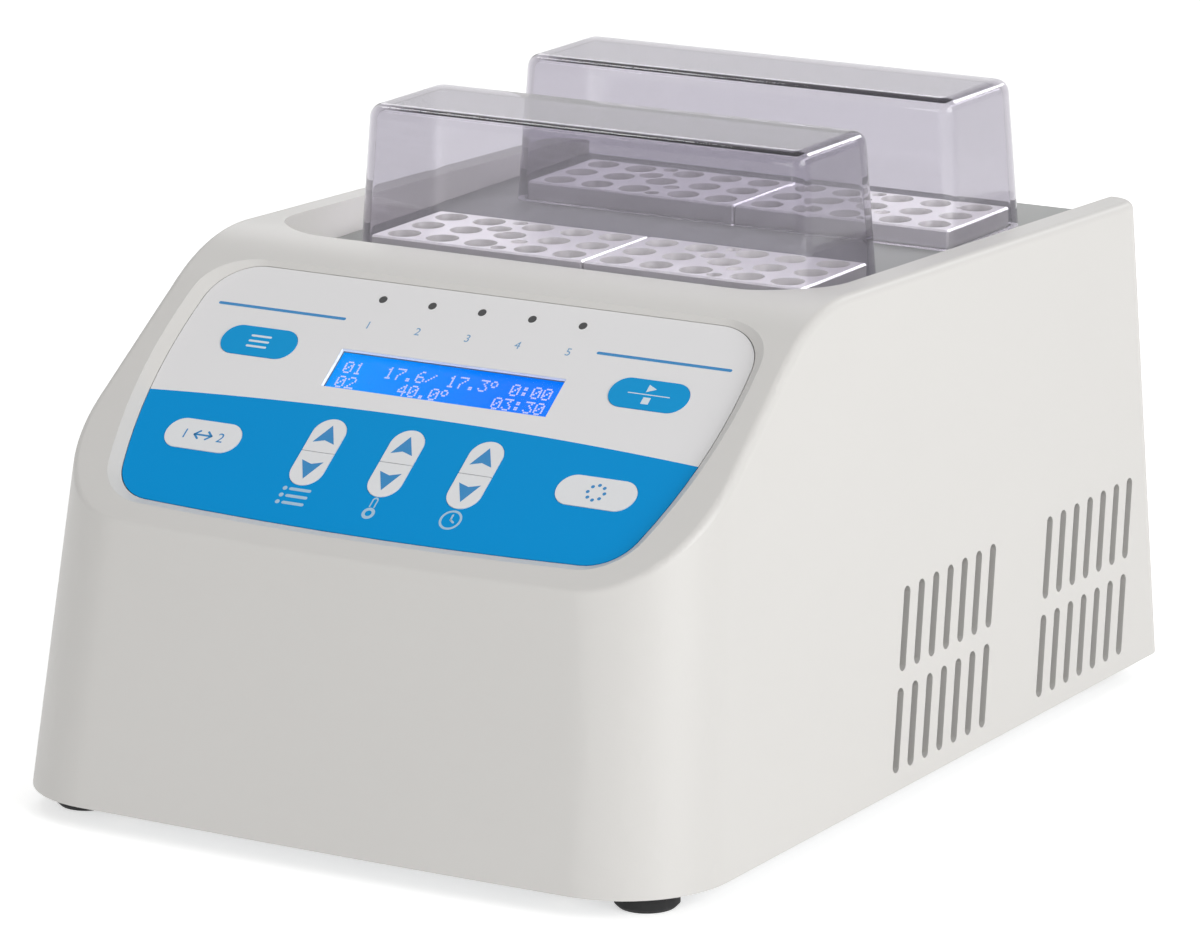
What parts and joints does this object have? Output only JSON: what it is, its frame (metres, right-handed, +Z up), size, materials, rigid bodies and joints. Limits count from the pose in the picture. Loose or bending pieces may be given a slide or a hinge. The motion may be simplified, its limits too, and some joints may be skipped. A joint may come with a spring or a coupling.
{
  "type": "dry bath incubator",
  "caption": "Bench dry bath with heated and cooled tube blocks under clear lift-off lids, a sloping keypad with display, side vents and a rear power inlet.",
  "frame": {"origin": "bottom centre of the bounding box, on the bench between the feet", "axes": "+X to the right seen from the front, +Y to the rear, +Z up"},
  "size_m": [0.2454, 0.335, 0.2021],
  "materials": {
    "housing_plastic": "fine textured off-white plastic",
    "base_metal": "zinc grey sheet",
    "deck_metal": "matte grey coated plate",
    "foot_rubber": "black rubber",
    "overlay_film": "satin printed polyester film, white above and blue below",
    "key_blue": "blue printed film",
    "key_white": "white printed film",
    "block_aluminium": "fine machined, clear anodised",
    "plain_aluminium": "extruded",
    "clear_lid": "clear moulded acrylic",
    "screw_steel": "plain steel",
    "foam": "closed cell foam",
    "board_green": "solder mask",
    "black_plastic": "black moulded plastic",
    "white_ceramic": "white ceramic",
    "display_blue": "backlit blue display glass",
    "window_clear": "clear window film",
    "brass_pins": "plated contacts",
    "grey_cable": "cable sheath"
  },
  "bodies": {
    "housing": {"base_plate": "base_metal", "base_screws": "screw_steel", "block_screws": "screw_steel", "board_components": "black_plastic", "board_standoffs": "brass_pins", "control_board": "board_green", "data_port": "plain_aluminium", "deck_plate": "deck_metal", "display_bezel": "black_plastic", "display_board": "board_green", "display_glass": "display_blue", "display_standoffs": "black_plastic", "display_window": "window_clear", "feet": "foot_rubber", "foot_nuts": "screw_steel", "front_fan_frame": "black_plastic", "front_heat_sink": "plain_aluminium", "front_insulation": "foam", "front_left_block": "block_aluminium", "front_right_block": "block_aluminium", "front_spreader_plate": "plain_aluminium", "inlet_pins": "brass_pins", "key_domes": "screw_steel", "mains_leads": "grey_cable", "membrane_circuit": "grey_cable", "overlay": "overlay_film", "panel_ribbon": "grey_cable", "power_inlet": "black_plastic", "power_supply": "plain_aluminium", "power_switch": "black_plastic", "rear_fan_frame": "black_plastic", "rear_heat_sink": "plain_aluminium", "rear_insulation": "foam", "rear_left_block": "block_aluminium", "rear_panel": "base_metal", "rear_panel_screws": "screw_steel", "rear_right_block": "block_aluminium", "rear_spreader_plate": "plain_aluminium", "sink_posts": "plain_aluminium", "status_lamps": "black_plastic", "temperature_sensors": "screw_steel", "thermal_cutouts": "black_plastic", "thermoelectric_modules": "white_ceramic", "upper_housing": "housing_plastic"},
    "bath_select_key": {"bath_select_key": "key_white"},
    "front_fan_rotor": {"front_fan_rotor": "black_plastic"},
    "front_lid": {"front_lid": "clear_lid"},
    "fuse_drawer": {"fuse_drawer": "black_plastic"},
    "mode_key": {"mode_key": "key_white"},
    "option_key": {"option_key": "key_blue"},
    "power_rocker": {"power_rocker": "black_plastic"},
    "program_down_key": {"program_down_key": "key_white"},
    "program_up_key": {"program_up_key": "key_white"},
    "rear_fan_rotor": {"rear_fan_rotor": "black_plastic"},
    "rear_lid": {"rear_lid": "clear_lid"},
    "start_stop_key": {"start_stop_key": "key_blue"},
    "temperature_down_key": {"temperature_down_key": "key_white"},
    "temperature_up_key": {"temperature_up_key": "key_white"},
    "time_down_key": {"time_down_key": "key_white"},
    "time_up_key": {"time_up_key": "key_white"}
  },
  "joints": [
    {"name": "front_lid_lift", "type": "slide", "parent": "housing", "child": "front_lid", "axis": [0, 0, 1], "range_m": [0, 0.12]},
    {"name": "rear_lid_lift", "type": "slide", "parent": "housing", "child": "rear_lid", "axis": [0, 0, 1], "range_m": [0, 0.12]},
    {"name": "bath_select_key_press", "type": "slide", "parent": "housing", "child": "bath_select_key", "axis": [0, 0.5962, -0.8028], "range_m": [0, 0.0003], "stiffness_N_per_m": 2000, "springref_m": -0.0005},
    {"name": "mode_key_press", "type": "slide", "parent": "housing", "child": "mode_key", "axis": [0, 0.5962, -0.8028], "range_m": [0, 0.0003], "stiffness_N_per_m": 2000, "springref_m": -0.0005},
    {"name": "option_key_press", "type": "slide", "parent": "housing", "child": "option_key", "axis": [0, 0.5962, -0.8028], "range_m": [0, 0.0003], "stiffness_N_per_m": 2000, "springref_m": -0.0005},
    {"name": "program_down_key_press", "type": "slide", "parent": "housing", "child": "program_down_key", "axis": [0, 0.5962, -0.8028], "range_m": [0, 0.0003], "stiffness_N_per_m": 2000, "springref_m": -0.0005},
    {"name": "program_up_key_press", "type": "slide", "parent": "housing", "child": "program_up_key", "axis": [0, 0.5962, -0.8028], "range_m": [0, 0.0003], "stiffness_N_per_m": 2000, "springref_m": -0.0005},
    {"name": "start_stop_key_press", "type": "slide", "parent": "housing", "child": "start_stop_key", "axis": [0, 0.5962, -0.8028], "range_m": [0, 0.0003], "stiffness_N_per_m": 2000, "springref_m": -0.0005},
    {"name": "temperature_down_key_press", "type": "slide", "parent": "housing", "child": "temperature_down_key", "axis": [0, 0.5962, -0.8028], "range_m": [0, 0.0003], "stiffness_N_per_m": 2000, "springref_m": -0.0005},
    {"name": "temperature_up_key_press", "type": "slide", "parent": "housing", "child": "temperature_up_key", "axis": [0, 0.5962, -0.8028], "range_m": [0, 0.0003], "stiffness_N_per_m": 2000, "springref_m": -0.0005},
    {"name": "time_down_key_press", "type": "slide", "parent": "housing", "child": "time_down_key", "axis": [0, 0.5962, -0.8028], "range_m": [0, 0.0003], "stiffness_N_per_m": 2000, "springref_m": -0.0005},
    {"name": "time_up_key_press", "type": "slide", "parent": "housing", "child": "time_up_key", "axis": [0, 0.5962, -0.8028], "range_m": [0, 0.0003], "stiffness_N_per_m": 2000, "springref_m": -0.0005},
    {"name": "power_rocker_tilt", "type": "hinge", "parent": "housing", "child": "power_rocker", "pos_m": [-0.018, 0.1615, 0.04], "axis": [1, 0, 0], "range_deg": [0, 18]},
    {"name": "fuse_drawer_slide", "type": "slide", "parent": "housing", "child": "fuse_drawer", "axis": [0, 1, 0], "range_m": [0, 0.012]},
    {"name": "front_fan_spin", "type": "hinge", "parent": "housing", "child": "front_fan_rotor", "pos_m": [0.1, 0.0069, 0.039], "axis": [1, 0, 0], "continuous": true},
    {"name": "rear_fan_spin", "type": "hinge", "parent": "housing", "child": "rear_fan_rotor", "pos_m": [0.1, 0.1032, 0.039], "axis": [1, 0, 0], "continuous": true}
  ]
}
